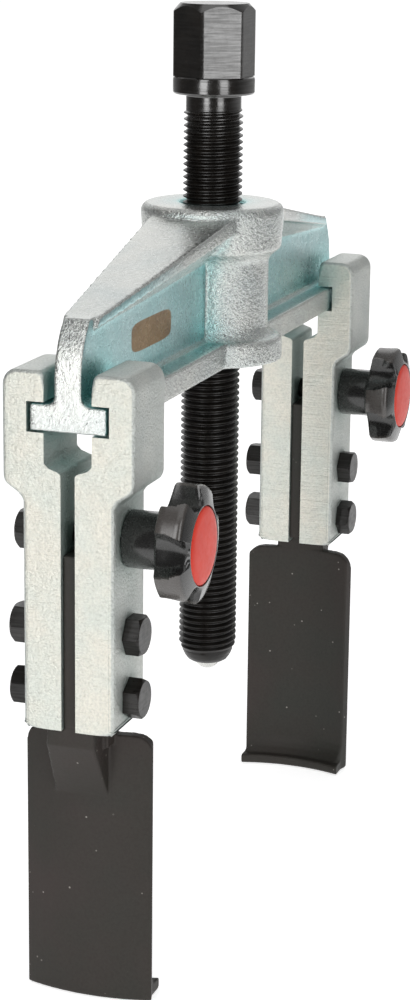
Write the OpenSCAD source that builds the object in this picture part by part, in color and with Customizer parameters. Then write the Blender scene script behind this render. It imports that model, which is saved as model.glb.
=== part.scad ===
// Two-arm gear puller with a T-rail beam, two sliding clamp arms, thin curved hooks
// and a central pressure screw.
// Units are millimetres. +Z runs up along the pressure screw, X runs along the beam,
// and the two star knobs face -Y. The origin is the lowest point of the thrust ball.

/* [Pressure screw] */
// Screw thread, outside diameter
screw_d = 14; // [10:0.5:20]
// Hexagon across flats
hex_af = 17; // [13:1:24]
// Hexagon height
hex_h = 16.7; // [12:0.1:24]
// Collar diameter under the hexagon
collar_d = 19.2; // [17:0.2:26]
// Collar height
collar_h = 4.1; // [2:0.1:8]
// Diameter of the plain neck under the collar
neck_d = 13.1; // [9:0.1:14]
// Height of the plain neck
neck_h = 3.2; // [1:0.1:8]
// Hexagon top above the thrust ball's lowest point
screw_h = 161.5; // [140:0.1:190]
// Thrust ball diameter
ball_d = 6.4; // [5:0.1:8]
// How far the thrust ball stands out of the screw end
ball_out = 2.4; // [0.8:0.1:2.9]

/* [Beam] */
// Underside of the beam above the thrust ball's lowest point
rail_z = 78.5; // [60:0.5:100]
// Half length of the beam
beam_half = 90; // [70:1:120]
// Rail width
rail_w = 17; // [14:0.2:24]
// Rail thickness
rail_t = 5.8; // [4:0.1:9]
// Web thickness
web_t = 6; // [4:0.1:9]
// Hub height
hub_h = 37.1; // [28:0.1:48]
// Hub boss and hub foot diameter
boss_d = 34; // [26:0.5:44]
// Hub barrel diameter
barrel_d = 27; // [20:0.5:36]
// Hub boss height
boss_h = 11.7; // [6:0.1:16]
// Top flange width where it meets the hub
flange_w = 21; // [14:0.5:30]
// Top flange width at the beam end
flange_end_w = 6.8; // [6:0.2:14]
// Top flange height above the underside at the hub
flange_z = 35; // [24:0.5:46]
// Top flange height above the underside at the beam end
flange_end_z = 23.2; // [16:0.2:34]

/* [Arms] */
// Arm depth along the beam
arm_t = 18.4; // [12:0.2:26]
// Overall width of the arm head
head_w = 29.6; // [24:0.2:40]
// Overall width of the arm leg
leg_w = 20.6; // [16:0.2:30]
// Gap between the two plates of an arm
plate_gap = 3.2; // [2:0.1:6]
// Arm top above the underside of the beam
head_up = 12.7; // [8:0.1:20]
// Arm bottom below the underside of the beam
leg_down = 65; // [45:0.5:100]
// Clamp bolt axis below the underside of the beam
clamp_down = 23.6; // [18:0.1:40]
// Upper leg bolt below the underside of the beam
upper_down = 44.7; // [30:0.1:60]
// Lower leg bolt below the underside of the beam
lower_down = 58.9; // [40:0.1:80]

/* [Hooks] */
// Hook plate thickness
hook_t = 2.8; // [2:0.1:5]
// Inner radius of the curved hook plate
hook_r = 46; // [30:0.5:80]
// Half angle of the curved hook plate
hook_a = 17.6; // [10:0.1:30]
// Inner face of the hook plate from the screw axis
hook_x = 77.5; // [60:0.5:100]
// Hook bottom below the underside of the beam
hook_down = 130.5; // [90:0.5:180]
// How far the hook lip stands inwards
lip = 4.5; // [2:0.1:8]
// Hook lip thickness
lip_t = 2.6; // [1.5:0.1:5]
// Hook neck width
neck_w = 13; // [8:0.5:20]

/* [Fasteners] */
// Bolt diameter
bolt_d = 5; // [4:0.5:8]
// Bolt and nut across flats
bolt_af = 8; // [7:0.5:13]
// Knob star diameter
knob_d = 25.6; // [20:0.2:36]
// Knob hub diameter
knob_hub_d = 12.4; // [9:0.2:18]
// Knob cap diameter
cap_d = 16.8; // [12:0.2:24]

/* [Hidden] */
$fn = 96;
fit = 0.05;
eps = 0.01;
arm_x = beam_half - arm_t / 2;
collar_z = screw_h - hex_h - collar_h;
thread_z = collar_z - neck_h;
end_z = ball_out;
clamp_z = rail_z - clamp_down;
upper_z = rail_z - upper_down;
lower_z = rail_z - lower_down;
leg_z = rail_z - leg_down;
hook_z = rail_z - hook_down;
hook_top_z = rail_z - 68.3;
hook_cx = hook_x - hook_r;
groove_w = 18.4;
groove_gap = 0.35;
lip_gap_w = 10.7;
slot_down = 6.8;
shoulder_down = 9.4;
head_down = 11;
leg_top_down = 14.6;
head_h = 3.6;
nut_h = 5.5;
shank_out = -0.3;
washer_t = 0.8;
washer_d = 10.8;
clamp_end_y = -19.6;
knob_back_y = -leg_w / 2 - 0.2;
knob_rim_y = -25.8;
knob_face_y = -26.9;
cap_seat_y = -26.1;
cap_t = 1.3;
insert_d = 7.2;
lobes = 5;
left_knob_turn = 16.5;
right_knob_turn = -20;
steel = [0.12, 0.12, 0.12];
zinc = [0.78, 0.80, 0.79];
dark = [0.24, 0.22, 0.21];
red = [0.85, 0.22, 0.16];
brass = [0.80, 0.65, 0.35];

// Points of an arc about [cx, cy], from angle a0 to a1 in n steps
function arc(cx, cy, r, a0, a1, n) =
  [for (i = [0:n]) [cx + r * cos(a0 + (a1 - a0) * i / n), cy + r * sin(a0 + (a1 - a0) * i / n)]];

// Extrude a drawing in [y, z] along X, centred on X = 0
module along_x(length) {
  rotate([90, 0, 90])
    linear_extrude(height = length, center = true)
      children();
}

// Extrude a drawing in [x, z] along Y, centred on Y = 0
module along_y(width) {
  rotate([90, 0, 0])
    linear_extrude(height = width, center = true)
      children();
}

// Cylinder along Y from y0 to y1
module rod_y(d, y0, y1) {
  translate([0, y1, 0])
    rotate([90, 0, 0])
      cylinder(d = d, h = y1 - y0);
}

// Hexagonal prism along Y from y0 to y1 with flats up and down
module hex_y(af, y0, y1) {
  translate([0, y1, 0])
    rotate([90, 0, 0])
      cylinder(d = af / cos(30), h = y1 - y0, $fn = 6);
}

// Hexagonal prism with the chamfered outer corners of a bolt head or nut, from y0 out to y1
module hex_head(af, y0, y1) {
  top = max(y0, y1);
  low = min(y0, y1);
  outward = y1 > y0 ? 1 : -1;
  intersection() {
    hex_y(af, low, top);
    rotate([90, 0, 0])
      rotate_extrude()
        polygon([[0, -y0], [af * 0.62, -y0], [af * 0.62, -y1 + outward * 1.0], [af * 0.49, -y1], [0, -y1]]);
  }
}

module beam() {
  // side outline of one wing: straight rail end, convex end, sloping top
  wing = concat(
    [[0, rail_z], [beam_half, rail_z], [beam_half, rail_z + 11]],
    arc(beam_half - 17, rail_z + 11, 17, 8, 46, 6),
    [[beam_half - 7.6, rail_z + flange_end_z], [14, rail_z + flange_z], [0, rail_z + flange_z]]
  );
  flange = [
    [0, rail_z + flange_z - 3.6], [14, rail_z + flange_z - 3.6],
    [beam_half - 6.6, rail_z + flange_end_z - 2.4], [beam_half - 7.6, rail_z + flange_end_z],
    [14, rail_z + flange_z], [0, rail_z + flange_z]
  ];
  plan = [
    [0, -flange_w / 2], [14, -flange_w / 2], [beam_half, -flange_end_w / 2],
    [beam_half, flange_end_w / 2], [14, flange_w / 2], [0, flange_w / 2]
  ];
  color(zinc)
  difference() {
    union() {
      translate([-beam_half, -rail_w / 2, rail_z])
        cube([2 * beam_half, rail_w, rail_t]);
      for (side = [0, 180]) {
        rotate([0, 0, side]) {
          along_y(web_t)
            polygon(wing);
          intersection() {
            along_y(boss_d)
              polygon(flange);
            translate([0, 0, rail_z])
              linear_extrude(height = hub_h)
                polygon(plan);
          }
          // small fillet strip at the root of the web
          along_x_strip();
        }
      }
      translate([0, 0, rail_z])
        rotate_extrude()
          polygon(concat(
            [[0, 0], [boss_d / 2, 0]],
            arc(boss_d / 2 - 1.2, rail_t - 1.2, 1.2, 0, 90, 3),
            [[barrel_d / 2 + 1.2, rail_t + 0.4], [barrel_d / 2, rail_t + 2.2],
             [barrel_d / 2, hub_h - boss_h - 1.6], [barrel_d / 2 + 1.0, hub_h - boss_h - 0.2],
             [boss_d / 2 - 0.6, hub_h - boss_h + 1.2]],
            arc(boss_d / 2 - 2.2, hub_h - 2.2, 2.2, 0, 90, 6),
            [[0, hub_h]]
          ));
    }
    translate([0, 0, rail_z - 1])
      cylinder(d = screw_d + 2 * fit, h = hub_h + 2);
    translate([0, 0, rail_z + hub_h - 0.8])
      cylinder(d1 = screw_d + 2 * fit, d2 = screw_d + 2.4, h = 0.8 + eps);
  }
}

// Sloping strip that fills the corner between the rail and the web
module along_x_strip() {
  for (flip = [0, 1]) {
    mirror([0, flip, 0])
      translate([beam_half / 2, 0, 0])
        along_x(beam_half)
          polygon([
            [0, rail_z + rail_t - 1], [web_t / 2 + 1.3, rail_z + rail_t],
            [web_t / 2 + 0.4, rail_z + rail_t + 0.4], [web_t / 2, rail_z + rail_t + 1.4],
            [0, rail_z + rail_t + 1.4]
          ]);
  }
}

module pressure_screw() {
  bevel_z = end_z + 4.7;
  color(steel)
  difference() {
    union() {
      translate([0, 0, thread_z])
        cylinder(d = neck_d, h = neck_h + eps);
      translate([0, 0, bevel_z])
        cylinder(d = screw_d, h = thread_z - bevel_z);
      rotate_extrude()
        polygon([
          [0, end_z], [4.2, end_z], [4.8, end_z + 0.35], [5.6, end_z + 1.4], [screw_d / 2, bevel_z],
          [0, bevel_z + eps]
        ]);
      rotate_extrude()
        polygon([
          [0, collar_z], [collar_d / 2 - 0.5, collar_z], [collar_d / 2, collar_z + 0.5],
          [collar_d / 2, collar_z + collar_h - 0.6], [collar_d / 2 - 0.6, collar_z + collar_h],
          [0, collar_z + collar_h]
        ]);
      intersection() {
        translate([0, 0, collar_z + collar_h - eps])
          cylinder(d = hex_af / cos(30), h = hex_h + eps, $fn = 6);
        rotate_extrude()
          polygon([
            [0, collar_z], [hex_af, collar_z], [hex_af, screw_h - 1.1 * (hex_af / 2 + 0.5)],
            [hex_af / 2 - 0.5, screw_h], [0, screw_h]
          ]);
      }
    }
    translate([0, 0, ball_d / 2])
      sphere(d = ball_d + 2 * fit);
  }
}

module thrust_ball() {
  color(zinc)
    translate([0, 0, ball_d / 2])
      sphere(d = ball_d);
}

// One arm plate in its place at the -Y side, arm centred on X = 0
module plate() {
  groove_lo = rail_z - groove_gap;
  groove_hi = rail_z + rail_t + groove_gap;
  head_z = rail_z + head_up;
  difference() {
    along_x(arm_t)
      polygon(concat(
        [[-plate_gap / 2, leg_z], [-plate_gap / 2, rail_z - shoulder_down]],
        arc(-plate_gap / 2 - 0.9, rail_z - shoulder_down, 0.9, 0, 75, 3),
        [[-lip_gap_w / 2 + 1, rail_z - slot_down - 1], [-lip_gap_w / 2, rail_z - slot_down],
         [-lip_gap_w / 2, groove_lo], [-groove_w / 2, groove_lo],
         [-groove_w / 2, groove_hi], [-lip_gap_w / 2, groove_hi], [-lip_gap_w / 2, head_z - 1.5]],
        arc(-lip_gap_w / 2 - 1.5, head_z - 1.5, 1.5, 0, 90, 4),
        arc(-head_w / 2 + 3.4, head_z - 3.4, 3.4, 90, 180, 6),
        arc(-head_w / 2 + 3, rail_z - head_down + 1.0, 3, 180, 222, 4),
        [[-leg_w / 2 - 0.6, rail_z - leg_top_down + 0.5], [-leg_w / 2, rail_z - leg_top_down - 0.8]],
        arc(-leg_w / 2 + 1, leg_z + 1, 1, 180, 270, 3)
      ));
    for (z = [clamp_z, upper_z, lower_z]) {
      translate([0, 0, z])
        rod_y(bolt_d + 0.2, -head_w, 0);
    }
  }
}

module front_plate() {
  color(zinc)
    plate();
}

module rear_plate() {
  color(zinc)
    mirror([0, 1, 0])
      plate();
}

// Hook of the +X arm, drawn about the arm's own centre
module hook() {
  color(dark)
  translate([-arm_x, 0, 0])
  difference() {
    union() {
      // curved plate and lip
      translate([hook_cx, 0, 0])
        intersection() {
          rotate([0, 0, -hook_a])
            rotate_extrude(angle = 2 * hook_a)
              polygon(concat(
                [[hook_r + hook_t - 0.4, hook_z], [hook_r + hook_t, hook_z + 0.4],
                 [hook_r + hook_t, hook_top_z], [hook_r, hook_top_z], [hook_r, hook_z + lip_t + 1.5]],
                [[hook_r, hook_z]]
              ));
          along_x(4 * hook_r)
            polygon(concat(
              [[-20, hook_z - 1], [20, hook_z - 1], [20, hook_top_z - 4.5], [14.75, hook_top_z - 4.5]],
              arc(14.75 - 4.2, hook_top_z - 4.2, 4.2, 0, 90, 5),
              arc(-14.75 + 4.2, hook_top_z - 4.2, 4.2, 90, 180, 5),
              [[-14.75, hook_top_z - 4.5], [-20, hook_top_z - 4.5]]
            ));
        }
      // lip with end faces along X
      intersection() {
        translate([hook_cx, 0, 0])
          rotate([0, 0, -hook_a - 3])
            rotate_extrude(angle = 2 * hook_a + 6)
              polygon(concat(
                [[hook_r + 1, hook_z], [hook_r + 1, hook_z + lip_t + 1.5], [hook_r, hook_z + lip_t + 1.5]],
                arc(hook_r - 1.5, hook_z + lip_t + 1.5, 1.5, 0, -90, 3),
                [[hook_r - lip + 0.4, hook_z + lip_t], [hook_r - lip, hook_z + lip_t - 0.4],
                 [hook_r - lip, hook_z + 0.5], [hook_r - lip + 0.5, hook_z]]
              ));
        translate([hook_cx, -hook_r * sin(hook_a), hook_z - 1])
          cube([2 * hook_r, 2 * hook_r * sin(hook_a), 20]);
      }
      // neck between the leg ends and the plate
      along_y(neck_w)
        polygon([
          [hook_x, hook_top_z - 2], [hook_x, leg_z - 0.1], [hook_x + 6, leg_z - 0.1], [hook_x + 6, hook_top_z - 2]
        ]);
      // wedge on the outer face
      intersection() {
        along_y(20)
          polygon([
            [hook_x + 1.2, leg_z - 0.1], [hook_x + 11.4, leg_z - 0.1], [hook_x + 11.2, leg_z - 3.8],
            [hook_x + 2.6, leg_z - 17.6], [hook_x + 1.2, leg_z - 17.6]
          ]);
        translate([hook_x, 0, 0])
          along_x(40)
            polygon([[-5.3, leg_z], [5.3, leg_z], [7.2, leg_z - 18], [-5.3, leg_z - 18]]);
      }
      // tang held between the plates
      along_y(plate_gap - 0.04)
        polygon([
          [arm_x - arm_t / 2 + 1, clamp_z - 3], [arm_x - arm_t / 2 + 1, leg_z + 1],
          [hook_x, leg_z - 0.2], [hook_x + 10.8, leg_z - 0.2],
          [arm_x + arm_t / 2 - 1, leg_z + 1], [arm_x + arm_t / 2 - 1, clamp_z - 3]
        ]);
    }
    for (z = [upper_z, lower_z]) {
      translate([arm_x, 0, z])
        rod_y(bolt_d + 0.2, -4, 4);
    }
  }
}

// Bolt with its head on the -Y side and its end past the nut on the +Y side
module leg_bolt(z, turn) {
  color(steel)
  translate([0, 0, z])
  rotate([0, turn, 0]) {
    rod_y(bolt_d, -leg_w / 2 - 0.1, leg_w / 2 + nut_h + shank_out);
    hex_head(bolt_af, -leg_w / 2, -leg_w / 2 - head_h);
  }
}

module leg_nut(z, turn) {
  color(steel)
  translate([0, 0, z])
  rotate([0, turn, 0])
  difference() {
    hex_head(bolt_af, leg_w / 2, leg_w / 2 + nut_h);
    rod_y(bolt_d + 0.04, leg_w / 2 - 1, leg_w / 2 + nut_h + 1);
  }
}

// Clamp bolt with its head on the +Y side and its threaded end in the knob
module clamp_bolt() {
  color(steel)
  translate([0, 0, clamp_z]) {
    rod_y(bolt_d, clamp_end_y, leg_w / 2 + 0.1);
    hex_head(bolt_af, leg_w / 2, leg_w / 2 + head_h + 0.6);
  }
}

module washer() {
  color(zinc)
  translate([0, 0, clamp_z])
  difference() {
    rod_y(washer_d, -leg_w / 2 - washer_t - 0.02, -leg_w / 2 - 0.02);
    rod_y(bolt_d + 0.4, -leg_w / 2 - 2, 0);
  }
}

// Outline of the star grip in [x, z]
module star_outline(turn) {
  rotate(turn) {
    circle(d = knob_d * 0.70);
    for (i = [0:lobes - 1]) {
      rotate(-90 + i * 360 / lobes) {
        intersection() {
          circle(d = knob_d);
          translate([knob_d * 0.365, 0])
            circle(d = knob_d * 0.31);
        }
        translate([0, -knob_d * 0.155])
          square([knob_d * 0.365, knob_d * 0.31]);
      }
    }
  }
}

module knob(turn) {
  color(steel)
  translate([0, 0, clamp_z])
  difference() {
    union() {
      rod_y(knob_hub_d, -21, knob_back_y);
      intersection() {
        translate([0, knob_back_y, 0])
          rotate([90, 0, 0])
            linear_extrude(height = 20)
              star_outline(turn);
        rotate([90, 0, 0])
          rotate_extrude()
            polygon([
              [0, 18], [knob_hub_d / 2 - 0.2, 18], [knob_d / 2, 20], [knob_d / 2, -knob_rim_y],
              [cap_d / 2 + 0.6, -knob_face_y], [0, -knob_face_y]
            ]);
      }
    }
    rod_y(cap_d + 0.1, knob_face_y - 1, cap_seat_y);
    rod_y(insert_d, -20, 0);
    rod_y(bolt_d + 0.3, -21.6, -19);
    rod_y(washer_d + 0.2, -leg_w / 2 - washer_t - 0.02, 0);
  }
}

module knob_cap() {
  color(red)
  translate([0, 0, clamp_z])
    rotate([90, 0, 0])
      rotate_extrude()
        polygon([
          [0, -cap_seat_y], [cap_d / 2, -cap_seat_y], [cap_d / 2, -cap_seat_y + 0.7],
          [cap_d / 2 - 0.5, -cap_seat_y + 1.0], [cap_d / 4, -cap_seat_y + cap_t - 0.08],
          [0, -cap_seat_y + cap_t]
        ]);
}

module knob_insert() {
  color(brass)
  translate([0, 0, clamp_z])
  difference() {
    rod_y(insert_d, -20, -leg_w / 2 - washer_t - 0.03);
    rod_y(bolt_d + 2 * fit, -21, -5);
  }
}

module on_left() {
  translate([-arm_x, 0, 0])
    children();
}

module on_right() {
  translate([arm_x, 0, 0])
    children();
}

module left_front_plate() { on_left() front_plate(); }
module left_rear_plate() { on_left() rear_plate(); }
module left_hook() { on_left() mirror([1, 0, 0]) hook(); }
module left_clamp_bolt() { on_left() clamp_bolt(); }
module left_upper_bolt() { on_left() leg_bolt(upper_z, 0); }
module left_upper_nut() { on_left() leg_nut(upper_z, 0); }
module left_lower_bolt() { on_left() leg_bolt(lower_z, 30); }
module left_lower_nut() { on_left() leg_nut(lower_z, 18); }
module left_washer() { on_left() washer(); }
module left_knob() { on_left() knob(left_knob_turn); }
module left_knob_cap() { on_left() knob_cap(); }
module left_knob_insert() { on_left() knob_insert(); }
module right_front_plate() { on_right() front_plate(); }
module right_rear_plate() { on_right() rear_plate(); }
module right_hook() { on_right() hook(); }
module right_clamp_bolt() { on_right() clamp_bolt(); }
module right_upper_bolt() { on_right() leg_bolt(upper_z, 8); }
module right_upper_nut() { on_right() leg_nut(upper_z, 5); }
module right_lower_bolt() { on_right() leg_bolt(lower_z, -14); }
module right_lower_nut() { on_right() leg_nut(lower_z, -9); }
module right_washer() { on_right() washer(); }
module right_knob() { on_right() knob(right_knob_turn); }
module right_knob_cap() { on_right() knob_cap(); }
module right_knob_insert() { on_right() knob_insert(); }

beam();
pressure_screw();
thrust_ball();
left_front_plate();
left_rear_plate();
left_hook();
left_clamp_bolt();
left_upper_bolt();
left_upper_nut();
left_lower_bolt();
left_lower_nut();
left_washer();
left_knob();
left_knob_cap();
left_knob_insert();
right_front_plate();
right_rear_plate();
right_hook();
right_clamp_bolt();
right_upper_bolt();
right_upper_nut();
right_lower_bolt();
right_lower_nut();
right_washer();
right_knob();
right_knob_cap();
right_knob_insert();
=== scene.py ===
"""Looks of a two-arm gear puller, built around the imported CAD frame.

Shapes are worked out in millimetres; materials, camera and lights are in metres.
"""
import math

import bmesh
import bpy
from mathutils import Matrix, Vector


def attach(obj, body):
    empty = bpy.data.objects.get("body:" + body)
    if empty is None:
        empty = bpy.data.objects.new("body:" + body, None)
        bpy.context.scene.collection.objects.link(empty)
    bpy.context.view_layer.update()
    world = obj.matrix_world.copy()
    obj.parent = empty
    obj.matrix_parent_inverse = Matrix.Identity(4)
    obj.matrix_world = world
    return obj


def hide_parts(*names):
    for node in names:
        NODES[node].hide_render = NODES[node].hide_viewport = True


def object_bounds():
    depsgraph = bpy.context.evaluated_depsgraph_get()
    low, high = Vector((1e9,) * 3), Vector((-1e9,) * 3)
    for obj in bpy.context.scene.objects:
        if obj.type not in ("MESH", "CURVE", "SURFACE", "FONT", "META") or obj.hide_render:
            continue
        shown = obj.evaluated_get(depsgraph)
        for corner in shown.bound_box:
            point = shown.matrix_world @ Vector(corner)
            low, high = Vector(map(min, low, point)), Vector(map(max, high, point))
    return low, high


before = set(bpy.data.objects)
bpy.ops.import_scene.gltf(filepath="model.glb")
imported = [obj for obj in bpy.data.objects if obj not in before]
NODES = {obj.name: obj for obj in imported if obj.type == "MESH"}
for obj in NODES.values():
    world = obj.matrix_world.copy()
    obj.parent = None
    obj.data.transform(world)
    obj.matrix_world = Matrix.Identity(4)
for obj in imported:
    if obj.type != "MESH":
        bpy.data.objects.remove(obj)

MM = 0.001
TAU = 2 * math.pi
cad_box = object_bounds()


# ---------------------------------------------------------------- sizes, in millimetres in the shared frame

RAIL_Z = 78.5

SCREW_TOP = 161.5
COLLAR_Z = 140.7
COLLAR_R = 9.6
COLLAR_H = 4.1
NECK_R = 6.5
THREAD_TOP = 137.6
THREAD_R = 7.0
THREAD_ROOT_R = 6.1
PITCH = 1.5
TIP_Z = 2.4
HEX_FLATS = 17.0
HEX_TOP_R = 8.0
BALL_R = 3.2

ARM_X = 80.8
CLAMP_Z = 54.9
HOOK_X = 77.5
HOOK_R = 46.0
LIP_TOP_Z = RAIL_Z - 130.5 + 2.6

KNOB_R = 12.8
KNOB_LOBES = 5
KNOB_HUB_R = 6.5
CAP_R = 8.36
CAP_SEAT = 26.0

PLATE_BEVEL = 1.1
FASTENER_BEVEL = 0.22
THIN_BEVEL = 0.12


# ---------------------------------------------------------------- mesh helpers

def make_object(name, verts, faces, sharp=32.0, smooth=True):
    """A clean mesh object from points in millimetres, shaded smooth below the sharp angle in degrees."""
    mesh = bpy.data.meshes.new(name)
    mesh.from_pydata([Vector(v) * MM for v in verts], [], faces)
    bm = bmesh.new()
    bm.from_mesh(mesh)
    bmesh.ops.remove_doubles(bm, verts=bm.verts, dist=0.002 * MM)
    bmesh.ops.dissolve_degenerate(bm, edges=bm.edges, dist=0.0001 * MM)
    bmesh.ops.recalc_face_normals(bm, faces=bm.faces)
    bm.to_mesh(mesh)
    bm.free()
    if smooth:
        mesh.shade_smooth()
        mesh.set_sharp_from_angle(angle=math.radians(sharp))
    obj = bpy.data.objects.new(name, mesh)
    bpy.context.scene.collection.objects.link(obj)
    return obj


def ring(radius, height, count):
    """A circle of points about Z."""
    angles = [TAU * i / count for i in range(count)]
    return [(radius * math.cos(a), radius * math.sin(a), height) for a in angles]


def rings_to_faces(rows, count):
    """The faces between rows of count points each, every row closed on itself."""
    faces = []
    for a in range(0, (rows - 1) * count, count):
        b = a + count
        for i in range(count):
            j = (i + 1) % count
            faces.append((a + i, a + j, b + j, b + i))
    return faces


def lathe(profile, count=96, place=None):
    """Closed surface of revolution about Z. profile is (radius, height) pairs; radius 0 closes an end."""
    verts = []
    faces = []
    rows = []
    for radius, height in profile:
        row = ring(radius, height, count) if radius > 0 else [(0.0, 0.0, height)]
        rows.append((len(verts), len(row)))
        verts += row
    for (a, na), (b, nb) in zip(rows, rows[1:]):
        for i in range(count):
            j = (i + 1) % count
            if na == 1 and nb > 1:
                faces.append((a, b + j, b + i))
            elif nb == 1 and na > 1:
                faces.append((a + i, a + j, b))
            elif na > 1:
                faces.append((a + i, a + j, b + j, b + i))
    if place:
        verts = [place(*v) for v in verts]
    return verts, faces


def join_parts(parts):
    """Several (verts, faces) pairs as one."""
    verts, faces = [], []
    for part_verts, part_faces in parts:
        base = len(verts)
        verts += part_verts
        faces += [tuple(i + base for i in face) for face in part_faces]
    return verts, faces


def hex_solid(flats, z0, z1, top_r, top_chamfer, low_chamfer):
    """Hexagonal prism with a turned chamfer on top and a small one below, corners on X."""
    count = 144
    corner_cut = 0.12
    low, side_low, side_high, high = [], [], [], []
    corner = flats / 2 / math.cos(math.radians(30))
    slope = top_chamfer / (corner - top_r)
    for i in range(count):
        angle = TAU * i / count
        from_flat = (angle % (math.pi / 3)) - math.pi / 6
        radius = min(flats / 2 / math.cos(from_flat), corner - corner_cut)
        c, s = math.cos(angle), math.sin(angle)
        low.append((c * (radius - low_chamfer), s * (radius - low_chamfer), z0))
        side_low.append((c * radius, s * radius, z0 + low_chamfer))
        side_high.append((c * radius, s * radius, z1 - (radius - top_r) * slope))
        high.append((c * top_r, s * top_r, z1))
    verts = low + side_low + side_high + high + [(0, 0, z0), (0, 0, z1)]
    faces = rings_to_faces(4, count)
    for i in range(count):
        j = (i + 1) % count
        faces.append((4 * count, j, i))
        faces.append((4 * count + 1, 3 * count + i, 3 * count + j))
    return verts, faces


def thread_solid(major, minor, pitch, z0, z1, limit):
    """Right-hand V-thread about Z from z0 to z1. limit(z) caps the radius, so ends can run out or taper."""
    count = 60
    one_turn = [(0.0, minor), (0.14, minor), (0.50, major), (0.64, major)]
    first_turn = math.floor(z0 / pitch) - 2
    last_turn = math.ceil(z1 / pitch) + 1
    levels = [(k + share, r) for k in range(first_turn, last_turn + 1) for share, r in one_turn]
    verts, faces = [], []
    for i in range(count):
        angle = TAU * i / count
        for level, radius in levels:
            z = min(max(pitch * (level + i / count), z0), z1)
            r = min(radius, limit(z))
            verts.append((r * math.cos(angle), r * math.sin(angle), z))
    n = len(levels)
    wrap = len(one_turn)
    for i in range(count):
        # the last column meets the first one a turn further up
        last = i == count - 1
        for k in range(n - 1 - wrap if last else n - 1):
            a = i * n + k
            b = k + wrap if last else a + n
            faces.append((a, b, b + 1, a + 1))
    base = len(verts)
    verts += ring(limit(z0), z0, count) + ring(limit(z1), z1, count)
    faces.append(tuple(base + i for i in reversed(range(count))))
    faces.append(tuple(base + count + i for i in range(count)))
    return verts, faces


def along_minus_y(x0, z0):
    """Turns a solid made about Z so that its axis runs along -Y through (x0, z0); height h goes to y = -h."""
    return lambda x, y, h: (x0 + x, -h, z0 + y)


def copy_node(node, name):
    """A CAD node's mesh as a new object, and as a bmesh with its doubled points merged."""
    obj = bpy.data.objects.new(name, NODES[node].data.copy())
    bpy.context.scene.collection.objects.link(obj)
    bm = bmesh.new()
    bm.from_mesh(obj.data)
    bmesh.ops.remove_doubles(bm, verts=bm.verts, dist=0.002 * MM)
    return obj, bm


def apply_modifiers(obj):
    """Replaces the object's mesh with what its modifiers make of it."""
    bpy.context.view_layer.update()
    depsgraph = bpy.context.evaluated_depsgraph_get()
    mesh = bpy.data.meshes.new_from_object(obj.evaluated_get(depsgraph))
    obj.modifiers.clear()
    obj.data = mesh


def machined(node, name, bevel, segments=2, chosen=None):
    """The CAD node's own shape with its edges rounded, or only those whose middle passes the chosen test."""
    obj, bm = copy_node(node, name)
    bmesh.ops.dissolve_limit(bm, angle_limit=math.radians(1), verts=bm.verts, edges=bm.edges)
    bmesh.ops.recalc_face_normals(bm, faces=bm.faces)
    weight = bm.edges.layers.float.new("bevel_weight_edge")
    for edge in bm.edges:
        if len(edge.link_faces) == 2 and edge.calc_face_angle(0) > math.radians(28):
            middle = (edge.verts[0].co + edge.verts[1].co) / (2 * MM)
            edge[weight] = 1.0 if chosen is None or chosen(middle) else 0.0
    bm.to_mesh(obj.data)
    bm.free()
    rounding = obj.modifiers.new("rounding", "BEVEL")
    rounding.width = bevel * MM
    rounding.segments = segments
    rounding.limit_method = "WEIGHT"
    rounding.use_clamp_overlap = chosen is None
    apply_modifiers(obj)
    obj.data.shade_smooth()
    obj.data.set_sharp_from_angle(angle=math.radians(40))
    weighted = obj.modifiers.new("weighted", "WEIGHTED_NORMAL")
    weighted.keep_sharp = True
    return obj


def forged(node, name, extra, voxel, rounds):
    """The CAD node and extra solids fused, with every edge and corner softened as in a forging."""
    obj, bm = copy_node(node, name)
    for verts, faces in extra:
        made = [bm.verts.new(Vector(v) * MM) for v in verts]
        for face in faces:
            bm.faces.new([made[i] for i in face])
    bmesh.ops.recalc_face_normals(bm, faces=bm.faces)
    bm.to_mesh(obj.data)
    bm.free()
    remesh = obj.modifiers.new("remesh", "REMESH")
    remesh.mode = "VOXEL"
    remesh.voxel_size = voxel * MM
    remesh.adaptivity = 0.0
    soft = obj.modifiers.new("soft", "SMOOTH")
    soft.factor = 0.5
    soft.iterations = rounds
    apply_modifiers(obj)
    obj.data.shade_smooth()
    return obj


def settle(obj, body, material, node):
    """Gives a finished piece its material and its body, and hides the CAD node it stands for."""
    obj.data.materials.clear()
    obj.data.materials.append(material)
    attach(obj, body)
    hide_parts(node)


# ---------------------------------------------------------------- materials, in metres

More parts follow.
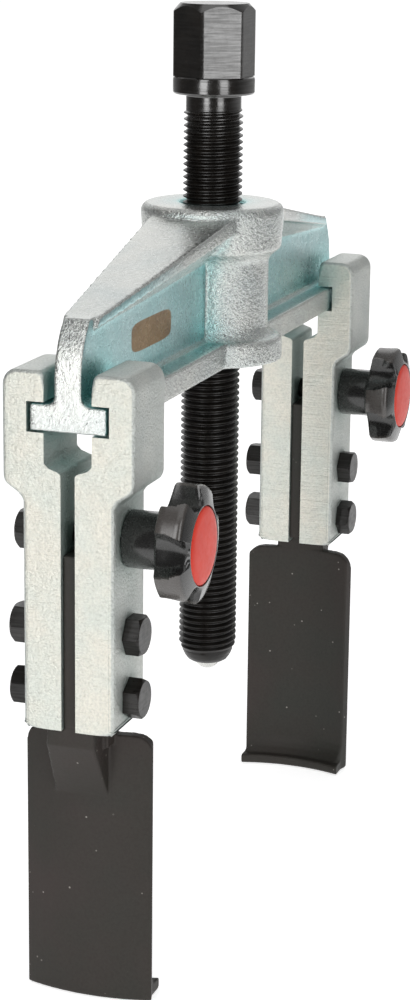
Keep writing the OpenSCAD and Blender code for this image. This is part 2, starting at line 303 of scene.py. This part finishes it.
class Graph:
    """A material with a Principled shader, and short ways to add and link its nodes."""

    def __init__(self, name):
        self.material = bpy.data.materials.new(name)
        self.material.use_nodes = True
        self.tree = self.material.node_tree
        self.tree.nodes.clear()
        self.shader = self.add("ShaderNodeBsdfPrincipled")
        self.link(self.shader.outputs["BSDF"], self.add("ShaderNodeOutputMaterial").inputs["Surface"])
        self.coords = self.add("ShaderNodeTexCoord").outputs["Object"]

    def add(self, kind, **settings):
        node = self.tree.nodes.new(kind)
        for key, value in settings.items():
            setattr(node, key, value)
        return node

    def link(self, a, b):
        self.tree.links.new(a, b)

    def feed(self, value, socket):
        """Links an output, or sets a number or a colour."""
        if isinstance(value, bpy.types.NodeSocket):
            self.link(value, socket)
        elif socket.type == "RGBA":
            socket.default_value = (*value, 1.0)
        else:
            socket.default_value = value

    def set(self, **values):
        """Feeds the shader's inputs, named with underscores for spaces."""
        for key, value in values.items():
            self.feed(value, self.shader.inputs[key.replace("_", " ")])

    def moved(self, vector, **settings):
        """The vector through a Mapping node with these settings."""
        node = self.add("ShaderNodeMapping")
        for key, value in settings.items():
            node.inputs[key].default_value = value
        self.link(vector, node.inputs["Vector"])
        return node.outputs["Vector"]

    def split(self, vector):
        """The vector's X, Y and Z outputs."""
        node = self.add("ShaderNodeSeparateXYZ")
        self.link(vector, node.inputs["Vector"])
        return node.outputs

    def noise(self, scale, detail, rough, vector=None):
        node = self.add("ShaderNodeTexNoise")
        node.inputs["Scale"].default_value = scale
        node.inputs["Detail"].default_value = detail
        node.inputs["Roughness"].default_value = rough
        self.link(vector or self.coords, node.inputs["Vector"])
        return node.outputs["Fac"]

    def streaks(self, scale, detail, rough):
        """Noise with its own scale along each axis."""
        return self.noise(1, detail, rough, self.moved(self.coords, Scale=scale))

    def ramp(self, value, *stops):
        """stops are (position, colour) pairs."""
        node = self.add("ShaderNodeValToRGB")
        elements = node.color_ramp.elements
        while len(elements) < len(stops):
            elements.new(0.5)
        for element, (position, colour) in zip(elements, stops):
            element.position = position
            element.color = (*colour, 1.0)
        self.link(value, node.inputs["Fac"])
        return node.outputs["Color"]

    def spread(self, value, low, high, to_low=0.0, to_high=1.0):
        """Maps low..high to to_low..to_high, clamped."""
        node = self.add("ShaderNodeMapRange")
        node.inputs["From Min"].default_value = low
        node.inputs["From Max"].default_value = high
        node.inputs["To Min"].default_value = to_low
        node.inputs["To Max"].default_value = to_high
        self.link(value, node.inputs["Value"])
        return node.outputs["Result"]

    def mix(self, factor, a, b):
        node = self.add("ShaderNodeMix", data_type="RGBA")
        self.feed(factor, node.inputs["Factor"])
        self.feed(a, node.inputs["A"])
        self.feed(b, node.inputs["B"])
        return node.outputs["Result"]

    def math(self, operation, *values):
        node = self.add("ShaderNodeMath", operation=operation)
        for value, socket in zip(values, node.inputs):
            self.feed(value, socket)
        return node.outputs["Value"]

    def away(self, value, middle):
        """How far a value is from the middle."""
        return self.math("ABSOLUTE", self.math("SUBTRACT", value, middle))

    def bump(self, *layers):
        """layers are (height, strength, distance), coarse first."""
        normal = None
        for height, strength, distance in layers:
            node = self.add("ShaderNodeBump")
            self.feed(strength, node.inputs["Strength"])
            node.inputs["Distance"].default_value = distance
            self.link(height, node.inputs["Height"])
            if normal is not None:
                self.link(normal, node.inputs["Normal"])
            normal = node.outputs["Normal"]
        self.link(normal, self.shader.inputs["Normal"])

    def hollow(self, distance):
        """1 on open faces, falling to 0 in inner corners."""
        node = self.add("ShaderNodeAmbientOcclusion", samples=8)
        node.inputs["Distance"].default_value = distance
        return node.outputs["AO"]

    def facing(self, axis):
        """1 on faces square to the axis, 0 on the others."""
        normal = self.split(self.add("ShaderNodeNewGeometry").outputs["Normal"])
        return self.spread(self.math("ABSOLUTE", normal[axis]), 0.86, 0.97)


def bronze_patch(g, at):
    """1 inside a plain rounded patch on the left wing's front web, 0 elsewhere."""
    middle_x, half_x = -0.0487, 0.0124
    middle_z, half_z = 0.0932, 0.0033
    across = g.math("POWER", g.math("DIVIDE", g.away(at["X"], middle_x), half_x), 5.0)
    above = g.math("POWER", g.math("DIVIDE", g.away(at["Z"], middle_z), half_z), 5.0)
    inside = g.spread(g.math("ADD", across, above), 1.10, 0.90)
    return g.math("MULTIPLY", inside, g.spread(at["Y"], -0.0021, -0.0024))


def forged_zinc():
    """Blue-passivated zinc on a blasted forging: smooth webs, sparkling round parts, with painted shade and a
    tinted reflection in teal in the hollows and on the web under the flange.
    """
    g = Graph("forged_zinc")
    at = g.split(g.coords)
    cloud = g.noise(70, 3, 0.55)
    grain = g.noise(1150, 4, 0.68)
    speck = g.noise(2100, 2, 0.5)
    web = g.math("MULTIPLY", g.facing("Y"), g.spread(g.math("ABSOLUTE", at["Y"]), 0.0080, 0.0060))
    rail_end = g.math("MULTIPLY", g.facing("X"), 0.6)
    flat = g.math("MAXIMUM", g.math("MAXIMUM", web, g.facing("Z")), rail_end)
    clouded = g.spread(cloud, 0.35, 0.68)
    silver = g.mix(clouded, (0.70, 0.71, 0.68), (0.60, 0.64, 0.63))
    # teal: painted shade on the web under the flange, darker than the silver of the open faces
    teal = g.mix(clouded, (0.44, 0.62, 0.63), (0.34, 0.57, 0.58))
    # painted shade and tinted reflection: darker teal in inner corners, from ambient occlusion
    open_face = g.spread(g.hollow(0.014), 0.34, 0.84)
    hollow_shaded = g.mix(open_face, (0.30, 0.66, 0.66), g.mix(web, silver, teal))
    grained = g.mix(g.spread(speck, 0.30, 0.46, 0.40, 1.0), (0.17, 0.18, 0.18), hollow_shaded)
    bronze = g.mix(g.spread(cloud, 0.3, 0.7), (0.17, 0.095, 0.034), (0.33, 0.21, 0.090))
    smooth = g.spread(grain, 0.3, 0.7, 0.22, 0.36)
    sparkling = g.spread(grain, 0.3, 0.7, 0.13, 0.27)
    g.set(Base_Color=g.mix(bronze_patch(g, at), g.mix(flat, grained, hollow_shaded), bronze),
          Metallic=0.92, Roughness=g.mix(flat, sparkling, smooth))
    g.bump((g.noise(420, 3, 0.55), 0.35, 0.00030),
           (grain, g.spread(flat, 0.0, 1.0, 0.95, 0.22), 0.00042),
           (speck, g.spread(flat, 0.0, 1.0, 0.65, 0.12), 0.00020))
    return g.material


def plate_zinc():
    """Whitish zinc on cut plate, with painted light by facing: creamy and painted lighter on faces square to
    X, painted greyer and darker on the sides, painted palest square to Z, and painted shade in inner corners.
    """
    g = Graph("plate_zinc")
    cloud = g.spread(g.noise(90, 3, 0.6), 0.35, 0.65)
    grain = g.noise(1900, 3, 0.6)
    lines = g.streaks((500, 90, 2600), 3, 0.6)
    ends = g.facing("X")
    # painted light by facing: ends square to X lighter and warmer, the sides darker
    lit_end_cream = g.mix(cloud, (0.77, 0.75, 0.67), (0.70, 0.725, 0.665))
    shaded_side_grey = g.mix(cloud, (0.63, 0.65, 0.62), (0.54, 0.57, 0.55))
    # faces square to Z painted palest, as if lit from above
    base = g.mix(g.facing("Z"), g.mix(ends, shaded_side_grey, lit_end_cream), (0.88, 0.90, 0.87))
    # painted shade: darker in inner corners, from ambient occlusion
    hollow_shaded = g.mix(g.spread(g.hollow(0.010), 0.30, 0.85), (0.34, 0.42, 0.39), base)
    specks = g.spread(g.noise(1700, 3, 0.6), 0.30, 0.58, 0.68, 1.0)
    g.set(Base_Color=g.mix(specks, (0.38, 0.40, 0.37), hollow_shaded), Metallic=0.78,
          Roughness=g.spread(grain, 0.3, 0.7, 0.40, 0.58))
    g.bump((g.noise(520, 3, 0.6), 0.8, 0.00034),
           (g.mix(ends, grain, lines), 0.9, 0.00028),
           (grain, 0.7, 0.00026))
    return g.material


def black_oxide():
    """Blackened steel with fine grinding marks across Z, glossier on the screw's head."""
    g = Graph("black_oxide")
    head = g.spread(g.split(g.coords)["Z"], 0.130, 0.140)
    marks = g.streaks((140, 140, 2400), 2, 0.5)
    ground = g.spread(marks, 0.35, 0.65, 0.78, 1.30)
    fine = g.noise(900, 3, 0.6)
    turned = g.spread(fine, 0.3, 0.7, 0.27, 0.42)
    polished = g.spread(fine, 0.3, 0.7, 0.13, 0.22)
    black = g.ramp(g.noise(260, 3, 0.6), (0.35, (0.0040, 0.0032, 0.0025)), (0.70, (0.0095, 0.0076, 0.0060)))
    g.set(Base_Color=black, Metallic=0.0, IOR=2.0, Roughness=g.mix(head, turned, polished),
          Specular_IOR_Level=g.math("MULTIPLY", g.spread(head, 0.0, 1.0, 0.14, 0.50), ground))
    g.bump((marks, 0.18, 0.00006), (g.noise(2200, 2, 0.5), 0.12, 0.00006))
    return g.material


def phosphate():
    """Dull phosphated steel with faint green and brown patches and a few pale dots."""
    g = Graph("phosphate")
    base = g.ramp(g.noise(34, 3, 0.55), (0.36, (0.022, 0.0225, 0.0185)), (0.52, (0.0255, 0.0215, 0.0180)),
                  (0.68, (0.032, 0.0235, 0.0210)))
    fine = g.noise(1400, 3, 0.6)
    toned = g.mix(g.spread(fine, 0.3, 0.7, 0.0, 0.35), base, (0.052, 0.048, 0.043))
    cells = g.add("ShaderNodeTexVoronoi")
    cells.inputs["Scale"].default_value = 330
    g.link(g.coords, cells.inputs["Vector"])
    dots = g.spread(cells.outputs["Distance"], 0.09, 0.05)
    rare = g.spread(g.noise(120, 2, 0.5), 0.50, 0.58)
    g.set(Base_Color=g.mix(g.math("MULTIPLY", dots, rare), toned, (0.26, 0.24, 0.22)),
          Metallic=0.1, Specular_IOR_Level=0.28, Roughness=g.spread(fine, 0.3, 0.7, 0.42, 0.62))
    g.bump((g.noise(500, 3, 0.6), 0.10, 0.00012), (fine, 0.22, 0.00008))
    return g.material


def black_plastic():
    """Glossy black plastic, with a painted reflection that makes the knobs' lobe tips paler."""
    g = Graph("black_plastic")
    at = g.split(g.coords)
    aside = g.math("SUBTRACT", g.math("ABSOLUTE", at["X"]), ARM_X * MM)
    above = g.math("SUBTRACT", at["Z"], CLAMP_Z * MM)
    radius = g.math("SQRT", g.math("ADD", g.math("MULTIPLY", aside, aside), g.math("MULTIPLY", above, above)))
    black = g.ramp(g.noise(420, 3, 0.6), (0.3, (0.0080, 0.0078, 0.0076)), (0.7, (0.0110, 0.0106, 0.0102)))
    # painted reflection: paler base colour from 12.0 to 12.6 mm out from each knob's axis, at the lobe tips
    g.set(Base_Color=g.mix(g.spread(radius, 0.0120, 0.0126), black, (0.060, 0.054, 0.050)),
          Specular_IOR_Level=0.6, Coat_Weight=0.5, Coat_Roughness=0.14,
          Roughness=g.spread(g.noise(1300, 3, 0.6), 0.3, 0.7, 0.25, 0.29))
    g.bump((g.noise(1700, 2, 0.5), 0.03, 0.00003))
    return g.material


def red_plastic():
    """Satin red plastic."""
    g = Graph("red_plastic")
    g.set(Base_Color=g.ramp(g.noise(150, 3, 0.6), (0.3, (0.66, 0.042, 0.024)), (0.7, (0.74, 0.058, 0.034))),
          Specular_IOR_Level=0.16, Roughness=g.spread(g.noise(900, 3, 0.6), 0.3, 0.7, 0.32, 0.46))
    g.bump((g.noise(1500, 2, 0.5), 0.10, 0.00005))
    return g.material


def bright_steel():
    """Bare polished steel."""
    g = Graph("bright_steel")
    g.set(Base_Color=g.ramp(g.noise(300, 3, 0.6), (0.3, (0.60, 0.60, 0.58)), (0.7, (0.74, 0.74, 0.71))),
          Metallic=1.0, Roughness=g.spread(g.noise(1500, 3, 0.6), 0.3, 0.7, 0.18, 0.34))
    g.bump((g.noise(2500, 2, 0.5), 0.08, 0.00004))
    return g.material


def turned_brass():
    """Brass with turning marks across Y."""
    g = Graph("turned_brass")
    g.set(Base_Color=g.ramp(g.noise(300, 3, 0.6), (0.3, (0.62, 0.44, 0.17)), (0.7, (0.76, 0.57, 0.26))),
          Metallic=1.0, Roughness=g.spread(g.noise(1500, 3, 0.6), 0.3, 0.7, 0.24, 0.40))
    g.bump((g.streaks((200, 3000, 200), 2, 0.5), 0.15, 0.00005))
    return g.material


FLOOR_HEADING = math.radians(19.0)


def floor_paper():
    """White paper that glows more with distance along the sheet, so that it stays white to the horizon."""
    g = Graph("floor_paper")
    along = g.split(g.moved(g.coords, Rotation=(0.0, 0.0, -FLOOR_HEADING)))["X"]
    g.set(Base_Color=g.ramp(g.noise(6, 2, 0.5), (0.3, (0.89, 0.89, 0.89)), (0.7, (0.91, 0.91, 0.91))),
          Roughness=0.9, Specular_IOR_Level=0.1, Emission_Color=(1.0, 1.0, 1.0),
          Emission_Strength=g.spread(along, -0.3, 2.0, 0.62, 0.88))
    return g.material


ZINC = forged_zinc()
PLATE = plate_zinc()
OXIDE = black_oxide()
PHOSPHATE = phosphate()
PLASTIC = black_plastic()
RED = red_plastic()
STEEL = bright_steel()
BRASS = turned_brass()


# ---------------------------------------------------------------- camera, floor and light

def place_camera(location, yaw, pitch, roll, focal_heights):
    """A camera for a tall picture; yaw runs from +Y towards +X, pitch downwards, all three in degrees."""
    yaw, pitch, roll = math.radians(yaw), math.radians(pitch), math.radians(roll)
    forward = Vector((math.sin(yaw) * math.cos(pitch), math.cos(yaw) * math.cos(pitch), -math.sin(pitch)))
    level = Vector((math.cos(yaw), -math.sin(yaw), 0.0))
    upward = level.cross(forward)
    right = level * math.cos(roll) + upward * math.sin(roll)
    up = upward * math.cos(roll) - level * math.sin(roll)
    data = bpy.data.cameras.new("camera")
    data.sensor_width = 36.0
    data.lens = focal_heights * data.sensor_width
    data.clip_start = 0.01
    data.clip_end = 30.0
    camera = bpy.data.objects.new("camera", data)
    camera.matrix_world = Matrix.Translation(location) @ Matrix((right, up, -forward)).transposed().to_4x4()
    bpy.context.scene.collection.objects.link(camera)
    bpy.context.scene.camera = camera


def lay_floor():
    """A fan-shaped sheet just below the object that widens away from the camera."""
    near, near_half, far, far_half = -300, 300, 6000, 1900
    z = cad_box[0][2] / MM - 0.2
    heading = Matrix.Rotation(FLOOR_HEADING, 3, "Z")
    corners = [(near, -near_half, 0), (far, -far_half, 0), (far, far_half, 0), (near, near_half, 0)]
    turned = [heading @ Vector(corner) for corner in corners]
    floor = make_object("floor", [(p.x, p.y, z) for p in turned], [(0, 1, 2, 3)], smooth=False)
    floor.data.materials.append(floor_paper())


def area_light(name, azimuth, elevation, distance, width, height, power):
    """A softbox facing the object from this azimuth (from +X towards +Y) and elevation in degrees."""
    a, e = math.radians(azimuth), math.radians(elevation)
    target = Vector((0, 0, 0.06))
    direction = Vector((math.cos(a) * math.cos(e), math.sin(a) * math.cos(e), math.sin(e)))
    data = bpy.data.lights.new(name, "AREA")
    data.shape = "RECTANGLE"
    data.size = width
    data.size_y = height
    data.energy = power
    light = bpy.data.objects.new(name, data)
    light.location = target + direction * distance
    light.rotation_euler = direction.to_track_quat("Z", "Y").to_euler()
    bpy.context.scene.collection.objects.link(light)


def studio_world():
    """A white surround, brighter towards +X than behind the camera."""
    world = bpy.data.worlds.new("studio")
    bpy.context.scene.world = world
    world.use_nodes = True
    nodes, links = world.node_tree.nodes, world.node_tree.links
    background = nodes["Background"]
    background.inputs["Color"].default_value = (1.0, 1.0, 1.0, 1.0)
    sky = nodes.new("ShaderNodeTexCoord")
    toward = nodes.new("ShaderNodeSeparateXYZ")
    glow = nodes.new("ShaderNodeMapRange")
    for socket, value in (("From Min", -0.1), ("From Max", 0.8), ("To Min", 0.08), ("To Max", 0.46)):
        glow.inputs[socket].default_value = value
    links.new(sky.outputs["Generated"], toward.inputs["Vector"])
    links.new(toward.outputs["X"], glow.inputs["Value"])
    links.new(glow.outputs["Result"], background.inputs["Strength"])


place_camera(Vector((-0.5404, -0.1860, 0.19055)), yaw=70.91, pitch=14.50, roll=0.66, focal_heights=2.426)
lay_floor()
area_light("strip_left", 170, 10, 1.35, 0.50, 2.0, 12.0)
area_light("strip_right", 228, 10, 1.35, 0.54, 2.0, 10.0)
area_light("top_soft", 200, 80, 1.5, 1.2, 1.2, 4.0)
area_light("rim_back", 22, 24, 1.8, 1.6, 1.4, 4.4)
studio_world()
bpy.context.scene.view_settings.view_transform = "Standard"


# ---------------------------------------------------------------- beam

def cove(side_x, side_y):
    """Slanting underside between the top flange's edge and the web, from the hub to the rail's end."""
    # x, reach in y and height of the flange's underside
    near_hub, at_end = (10.0, 9.6, RAIL_Z + 31.6), (85.5, 2.9, RAIL_Z + 21.0)
    inside, web_y, overlap = 2.2, 2.6, 0.8
    verts = []
    for x, reach, z in (near_hub, at_end):
        top = z + overlap
        low = z - (reach - web_y) * 0.95 - overlap
        verts += [(x, inside, top), (x, reach, top), (x, web_y, low), (x, inside, low)]
    verts = [(side_x * x, side_y * y, z) for x, y, z in verts]
    faces = [(0, 1, 2, 3), (7, 6, 5, 4), (0, 4, 5, 1), (1, 5, 6, 2), (2, 6, 7, 3), (3, 7, 4, 0)]
    return verts, faces


beam = forged("beam", "beam_forging", [cove(a, b) for a in (1, -1) for b in (1, -1)], 0.42, 9)
settle(beam, "beam", ZINC, "beam")


# ---------------------------------------------------------------- pressure screw

def screw_limit(z):
    """Largest radius of the screw at height z: a rounded tip, and threads that run out below the collar."""
    tip = [(TIP_Z, 4.2), (2.75, 4.8), (3.8, 5.6), (7.1, THREAD_R)]
    for (za, ra), (zb, rb) in zip(tip, tip[1:]):
        if z <= zb:
            return ra + (rb - ra) * (z - za) / (zb - za)
    run_out = 1.2
    if z > THREAD_TOP - run_out:
        return NECK_R + (THREAD_R - NECK_R) * max(0.0, (THREAD_TOP - z) / run_out)
    return THREAD_R


def screw_mesh():
    """Thread, neck, collar and hexagon; each overlaps the next a little."""
    neck = [(0, THREAD_TOP - 1.0), (NECK_R, THREAD_TOP - 1.0), (NECK_R, COLLAR_Z - 0.5),
            (NECK_R + 0.2, COLLAR_Z - 0.15), (NECK_R + 0.3, COLLAR_Z + 1.0), (0, COLLAR_Z + 1.0)]
    collar_top = COLLAR_Z + COLLAR_H
    collar = [(0, COLLAR_Z), (COLLAR_R - 0.6, COLLAR_Z), (COLLAR_R - 0.25, COLLAR_Z + 0.12),
              (COLLAR_R, COLLAR_Z + 0.5), (COLLAR_R, collar_top - 0.7), (COLLAR_R - 0.15, collar_top - 0.25),
              (COLLAR_R - 0.5, collar_top), (0, collar_top)]
    head = hex_solid(HEX_FLATS, collar_top - 0.02, SCREW_TOP, HEX_TOP_R, 2.0, 0.02)
    thread = thread_solid(THREAD_R, THREAD_ROOT_R, PITCH, TIP_Z, THREAD_TOP, screw_limit)
    return join_parts([thread, lathe(neck), lathe(collar, 128), head])


def ball_mesh():
    """A ball that rests on the origin."""
    steps = 40
    profile = [(0, 0.0)]
    for i in range(1, steps):
        polar = math.pi * i / steps
        profile.append((BALL_R * math.sin(polar), BALL_R - BALL_R * math.cos(polar)))
    return lathe(profile + [(0, 2 * BALL_R)], 80)


screw = make_object("pressure_screw_steel", *screw_mesh(), sharp=24)
settle(screw, "screw", OXIDE, "pressure_screw")
ball = make_object("thrust_ball_steel", *ball_mesh())
settle(ball, "thrust_ball", STEEL, "thrust_ball")


# ---------------------------------------------------------------- knobs

def knob_outline(angle, turn, scoop):
    """Radius of the grip in the direction angle, smooth across lobe corners; scoop deepens the hollows."""
    cut_at, cut_r, soft = 12.5 - 0.65 * scoop, 3.65 + 0.40 * scoop, 0.9
    lobe = TAU / KNOB_LOBES
    from_lobe = (angle - turn + math.pi / 2 + lobe / 2) % lobe - lobe / 2
    from_hollow = lobe / 2 - abs(from_lobe)
    inner = cut_r ** 2 - (cut_at * math.sin(from_hollow)) ** 2
    if inner <= 0:
        return KNOB_R
    radius = cut_at * math.cos(from_hollow) - math.sqrt(inner)
    if radius > KNOB_R + soft:
        return KNOB_R
    if radius > KNOB_R - soft:
        t = (KNOB_R + soft - radius) / (2 * soft)
        return KNOB_R - soft * t * t
    return radius


def knob_back(r):
    """Height of the grip's rear face, which slopes away from the arm out to the rim."""
    return 18.3 + 1.7 * (r - KNOB_HUB_R) / 6.3


def knob_front(r):
    """Height of the grip's front face, which slopes back towards the arm out to the rim."""
    return 26.9 - 1.15 * (r - 8.9) / 3.9


def knob_section(angle, turn):
    """Half section of the grip in the direction angle, as (radius, height) from hub end to cap seat."""
    back_edge, front_edge = 0.60, 0.95
    points = [(5.3, 10.5), (5.95, 10.5), (6.2, 10.75), (6.2, 17.8), (6.3, 18.1), (KNOB_HUB_R, 18.28)]
    rim = knob_outline(angle, turn, 1.6)
    for share in (0.25, 0.5, 0.75, 1.0):
        r = KNOB_HUB_R + (rim - 0.7 - KNOB_HUB_R) * share
        points.append((r, knob_back(r)))
    for inward, up in ((0.35, 0.03), (0.10, 0.22), (0.0, back_edge)):
        points.append((rim - inward, knob_back(rim) + up))
    for share, scoop in ((0.25, 1.50), (0.5, 1.20), (0.7, 0.80), (0.85, 0.40)):
        r = knob_outline(angle, turn, scoop)
        points.append((r, (knob_back(r) + back_edge) * (1 - share) + (knob_front(r) - front_edge) * share))
    rim = knob_outline(angle, turn, 0.0)
    points += [(rim, knob_front(rim) - front_edge), (rim - 0.12, knob_front(rim) - 0.45)]
    for inward, least, down in ((0.42, 8.85, 0.12), (0.95, 8.82, 0.0)):
        r = max(rim - inward, least)
        points.append((r, knob_front(r) - down))
    return points + [(8.8, 26.92), (8.62, 26.94), (8.5, 26.8), (8.5, CAP_SEAT)]


def knob_mesh(x0, turn):
    """Hub and five-lobed grip as rings about the knob's axis; heights run outwards along -Y."""
    count = 320
    angles = [TAU * i / count for i in range(count)]
    rows = list(zip(*[knob_section(angle, turn) for angle in angles]))
    place = along_minus_y(x0, CLAMP_Z)
    verts = [place(r * math.cos(a), r * math.sin(a), h) for row in rows for a, (r, h) in zip(angles, row)]
    faces = rings_to_faces(len(rows), count)
    faces.append(tuple(reversed(range(count))))
    faces.append(tuple(range((len(rows) - 1) * count, len(rows) * count)))
    return verts, faces


def cap_mesh(x0):
    """A thin disc with a rounded edge and a slightly domed face."""
    profile = [(0, CAP_SEAT), (CAP_R, CAP_SEAT), (CAP_R, 26.55), (8.25, 26.82), (7.9, 27.02), (6.5, 27.18),
               (4.0, 27.30), (0, 27.36)]
    return lathe(profile, 128, along_minus_y(x0, CLAMP_Z))


# ---------------------------------------------------------------- arms

def lip_fillet(sign):
    """The wide hollow between the hook's lip and its plate, as a curved wedge."""
    steps, half_angle = 16, 17.5
    section = [(0.3, -0.3), (-2.9, -0.3), (-2.3, 0.35), (-1.2, 1.6), (-0.5, 2.9), (0.0, 4.6), (0.3, 4.6)]
    verts = []
    for i in range(steps + 1):
        a = math.radians(-half_angle + 2 * half_angle * i / steps)
        for outward, up in section:
            r = HOOK_R + outward
            verts.append((sign * (HOOK_X - HOOK_R + r * math.cos(a)), r * math.sin(a), LIP_TOP_Z + up))
    n = len(section)
    faces = rings_to_faces(steps + 1, n)
    faces.append(tuple(range(n)))
    faces.append(tuple(reversed(range(steps * n, (steps + 1) * n))))
    return verts, faces


def on_plate_outside(p):
    """Whether a point lies on a plate's outer contour, away from the rail's groove and the slot."""
    on_top = p.z > 89
    beside_head = abs(p.y) > 12.5
    beside_leg = p.z < 69 and abs(p.y) > 9
    return on_top or beside_head or beside_leg


def build_arm(name, sign, knob_turn):
    """Plates, hook, fasteners and knob of the arm on one side, the knob turned by knob_turn degrees."""
    arm, knob_body = name + "_arm", name + "_knob"
    x0 = sign * ARM_X
    for part in ("front_plate", "rear_plate"):
        node = name + "_" + part
        plate = machined(node, node + "_steel", PLATE_BEVEL, 3, on_plate_outside)
        settle(plate, arm, PLATE, node)
    node = name + "_hook"
    settle(forged(node, node + "_steel", [lip_fillet(sign)], 0.30, 5), arm, PHOSPHATE, node)
    for part in ("clamp_bolt", "upper_bolt", "upper_nut", "lower_bolt", "lower_nut"):
        node = name + "_" + part
        settle(machined(node, node + "_steel", FASTENER_BEVEL), arm, OXIDE, node)
    node = name + "_washer"
    settle(machined(node, node + "_steel", THIN_BEVEL), name + "_washer", STEEL, node)
    node = name + "_knob_insert"
    settle(machined(node, node + "_brass", THIN_BEVEL), knob_body, BRASS, node)
    knob = make_object(name + "_knob_grip", *knob_mesh(x0, math.radians(knob_turn)), sharp=50)
    settle(knob, knob_body, PLASTIC, name + "_knob")
    cap = make_object(name + "_knob_red_cap", *cap_mesh(x0), sharp=50)
    settle(cap, knob_body, RED, name + "_knob_cap")


build_arm("left", -1, 16.5)
build_arm("right", 1, -20.0)
